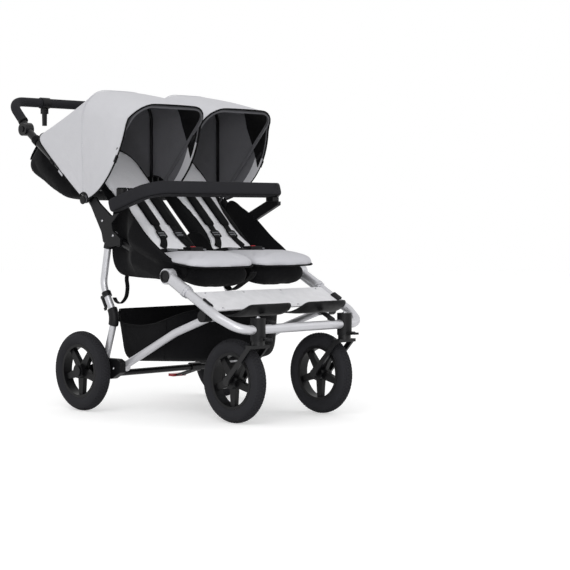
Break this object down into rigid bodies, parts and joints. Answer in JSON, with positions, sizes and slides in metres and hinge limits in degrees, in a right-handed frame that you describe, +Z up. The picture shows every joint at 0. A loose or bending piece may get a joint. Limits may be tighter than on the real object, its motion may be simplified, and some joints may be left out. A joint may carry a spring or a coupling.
{
  "type": "twin pram",
  "caption": "Side-by-side folding pushchair with reclining seats, folding canopies, a swing-open bumper bar, a tilting handle, a basket and air-tyred wheels on swivelling casters.",
  "frame": {"origin": "on the floor, under the middle of the bounding box", "axes": "+X to the pusher's left, -Y to the front, +Y to the handle, +Z up"},
  "size_m": [0.656, 1.213, 1.029],
  "materials": {
    "tube_silver": "satin",
    "frame_black": "satin",
    "steel": "satin",
    "plastic_black": "matte",
    "plate_grey": "satin",
    "plastic_red": "gloss",
    "fabric_black": "woven",
    "fabric_grey": "woven",
    "foam_black": "matte",
    "tyre": "matte"
  },
  "bodies": {
    "main_frame": {"seat_rails": "frame_black", "side_joints": "plastic_black", "back_tubes": "frame_black", "cross_bar": "frame_black", "seat_sling": "fabric_black", "seat_pad_left": "fabric_grey", "seat_pad_right": "fabric_grey", "seat_sides": "fabric_black", "recline_rod": "steel", "organiser_bag": "fabric_black", "canopy_cloth_left": "fabric_grey", "canopy_cloth_right": "fabric_grey", "bumper_arm": "plastic_black", "buckles": "plastic_black"},
    "front_frame": {"front_frame_tube": "tube_silver", "hub_sleeves": "tube_silver", "hub_lids": "plastic_black", "foot_plate": "plate_grey", "foot_trays": "plastic_black", "caster_housings": "plastic_black", "link_clamps": "plastic_black"},
    "link_frame": {"link_tubes": "tube_silver", "basket": "fabric_black"},
    "rear_frame": {"rear_legs": "tube_silver", "leg_clamps": "plastic_black", "axle_brackets": "plastic_black", "axle_beam": "frame_black"},
    "catch_hook": {"fold_catch": "plastic_black"},
    "pedal": {"foot_pedal": "steel", "pedal_pad": "plastic_red"},
    "handle": {"handle_tube": "frame_black", "handle_grip": "foam_black", "brake_housing": "plastic_black"},
    "hand_brake": {"brake_lever": "plastic_black"},
    "bumper": {"bumper_bar": "foam_black"},
    "bumper_latch": {"bumper_knob": "plastic_black"},
    "rear_wheel_left": {"rear_tyre_left": "tyre", "rear_rim_left": "plastic_black"},
    "front_wheel_left": {"front_tyre_left": "tyre", "front_rim_left": "plastic_black"},
    "caster_left": {"caster_fork_left": "plastic_black"},
    "caster_lever_left": {"lock_lever_left": "plastic_black"},
    "hinge_button_left": {"handle_button_left": "steel"},
    "recliner_left": {"seat_back_left": "fabric_grey", "harness_left": "fabric_black"},
    "canopy_front_left": {"front_bow_left": "frame_black"},
    "canopy_mid_left": {"mid_bow_left": "frame_black"},
    "release_left": {"buckle_button_left": "plastic_red"},
    "rear_wheel_right": {"rear_tyre_right": "tyre", "rear_rim_right": "plastic_black"},
    "front_wheel_right": {"front_tyre_right": "tyre", "front_rim_right": "plastic_black"},
    "caster_right": {"caster_fork_right": "plastic_black"},
    "caster_lever_right": {"lock_lever_right": "plastic_black"},
    "hinge_button_right": {"handle_button_right": "steel"},
    "recliner_right": {"seat_back_right": "fabric_grey", "harness_right": "fabric_black"},
    "canopy_front_right": {"front_bow_right": "frame_black"},
    "canopy_mid_right": {"mid_bow_right": "frame_black"},
    "release_right": {"buckle_button_right": "plastic_red"}
  },
  "joints": [
    {"name": "frame_fold", "type": "hinge", "parent": "main_frame", "child": "front_frame", "pos_m": [0, -0.258, 0.438], "axis": [1, 0, 0], "range_deg": [0, 72], "deforming": ["basket"]},
    {"name": "link_follow", "type": "hinge", "parent": "front_frame", "child": "link_frame", "pos_m": [0, -0.406, 0.322], "axis": [1, 0, 0], "range_deg": [-54.72, 0]},
    {"name": "leg_follow", "type": "hinge", "parent": "main_frame", "child": "rear_frame", "pos_m": [0, 0.039, 0.556], "axis": [1, 0, 0], "range_deg": [0, 35.28]},
    {"name": "catch_swing", "type": "hinge", "parent": "rear_frame", "child": "catch_hook", "pos_m": [-0.262, 0.08372, 0.36168], "axis": [1, 0, 0], "range_deg": [0, 60]},
    {"name": "pedal_lift", "type": "hinge", "parent": "rear_frame", "child": "pedal", "pos_m": [0.1, 0.054, 0.12], "axis": [1, 0, 0], "range_deg": [0, 30]},
    {"name": "handle_tilt", "type": "hinge", "parent": "main_frame", "child": "handle", "pos_m": [0, 0.488, 0.911], "axis": [1, 0, 0], "range_deg": [-75, 50]},
    {"name": "brake_pull", "type": "hinge", "parent": "handle", "child": "hand_brake", "pos_m": [-0.112, 0.589, 0.98], "axis": [1, 0, 0], "range_deg": [0, 70]},
    {"name": "bumper_gate", "type": "hinge", "parent": "main_frame", "child": "bumper", "pos_m": [0.262, -0.154, 0.7], "axis": [0, 0, 1], "range_deg": [0, 85]},
    {"name": "bumper_press", "type": "slide", "parent": "bumper", "child": "bumper_latch", "axis": [0, 0, -1], "range_m": [0, 0.0035], "stiffness_N_per_m": 900},
    {"name": "rear_spin_left", "type": "hinge", "parent": "rear_frame", "child": "rear_wheel_left", "pos_m": [0.303, 0.139, 0.127], "axis": [1, 0, 0], "continuous": true},
    {"name": "swivel_left", "type": "hinge", "parent": "front_frame", "child": "caster_left", "pos_m": [0.187, -0.548, 0.255], "axis": [0, 0, 1], "continuous": true},
    {"name": "front_spin_left", "type": "hinge", "parent": "caster_left", "child": "front_wheel_left", "pos_m": [0.187, -0.447, 0.127], "axis": [1, 0, 0], "continuous": true},
    {"name": "caster_lock_left", "type": "hinge", "parent": "front_frame", "child": "caster_lever_left", "pos_m": [0.187, -0.578, 0.258], "axis": [-1, 0, 0], "range_deg": [0, 35]},
    {"name": "hinge_press_left", "type": "slide", "parent": "main_frame", "child": "hinge_button_left", "axis": [-1, 0, 0], "range_m": [0, 0.004], "stiffness_N_per_m": 800},
    {"name": "recline_left", "type": "hinge", "parent": "main_frame", "child": "recliner_left", "pos_m": [0, -0.096, 0.49], "axis": [1, 0, 0], "range_deg": [0, 22]},
    {"name": "canopy_fold_left", "type": "hinge", "parent": "main_frame", "child": "canopy_front_left", "pos_m": [0, 0.139, 0.672], "axis": [-1, 0, 0], "range_deg": [0, 80], "deforming": ["canopy_cloth_left"]},
    {"name": "canopy_mid_follow_left", "type": "hinge", "parent": "main_frame", "child": "canopy_mid_left", "pos_m": [0, 0.139, 0.672], "axis": [-1, 0, 0], "range_deg": [0, 40]},
    {"name": "release_press_left", "type": "slide", "parent": "main_frame", "child": "release_left", "axis": [0, 0, -1], "range_m": [0, 0.0015], "stiffness_N_per_m": 900},
    {"name": "rear_spin_right", "type": "hinge", "parent": "rear_frame", "child": "rear_wheel_right", "pos_m": [-0.303, 0.139, 0.127], "axis": [1, 0, 0], "continuous": true},
    {"name": "swivel_right", "type": "hinge", "parent": "front_frame", "child": "caster_right", "pos_m": [-0.187, -0.548, 0.255], "axis": [0, 0, 1], "continuous": true},
    {"name": "front_spin_right", "type": "hinge", "parent": "caster_right", "child": "front_wheel_right", "pos_m": [-0.187, -0.447, 0.127], "axis": [1, 0, 0], "continuous": true},
    {"name": "caster_lock_right", "type": "hinge", "parent": "front_frame", "child": "caster_lever_right", "pos_m": [-0.187, -0.578, 0.258], "axis": [-1, 0, 0], "range_deg": [0, 35]},
    {"name": "hinge_press_right", "type": "slide", "parent": "main_frame", "child": "hinge_button_right", "axis": [1, 0, 0], "range_m": [0, 0.004], "stiffness_N_per_m": 800},
    {"name": "recline_right", "type": "hinge", "parent": "main_frame", "child": "recliner_right", "pos_m": [0, -0.096, 0.49], "axis": [1, 0, 0], "range_deg": [0, 22]},
    {"name": "canopy_fold_right", "type": "hinge", "parent": "main_frame", "child": "canopy_front_right", "pos_m": [0, 0.139, 0.672], "axis": [-1, 0, 0], "range_deg": [0, 80], "deforming": ["canopy_cloth_right"]},
    {"name": "canopy_mid_follow_right", "type": "hinge", "parent": "main_frame", "child": "canopy_mid_right", "pos_m": [0, 0.139, 0.672], "axis": [-1, 0, 0], "range_deg": [0, 40]},
    {"name": "release_press_right", "type": "slide", "parent": "main_frame", "child": "release_right", "axis": [0, 0, -1], "range_m": [0, 0.0015], "stiffness_N_per_m": 900}
  ],
  "couplings": [
    {"joint": "link_follow", "follows": "frame_fold", "ratio": -0.76},
    {"joint": "leg_follow", "follows": "frame_fold", "ratio": 0.49},
    {"joint": "canopy_mid_follow_left", "follows": "canopy_fold_left", "ratio": 0.5},
    {"joint": "canopy_mid_follow_right", "follows": "canopy_fold_right", "ratio": 0.5}
  ]
}
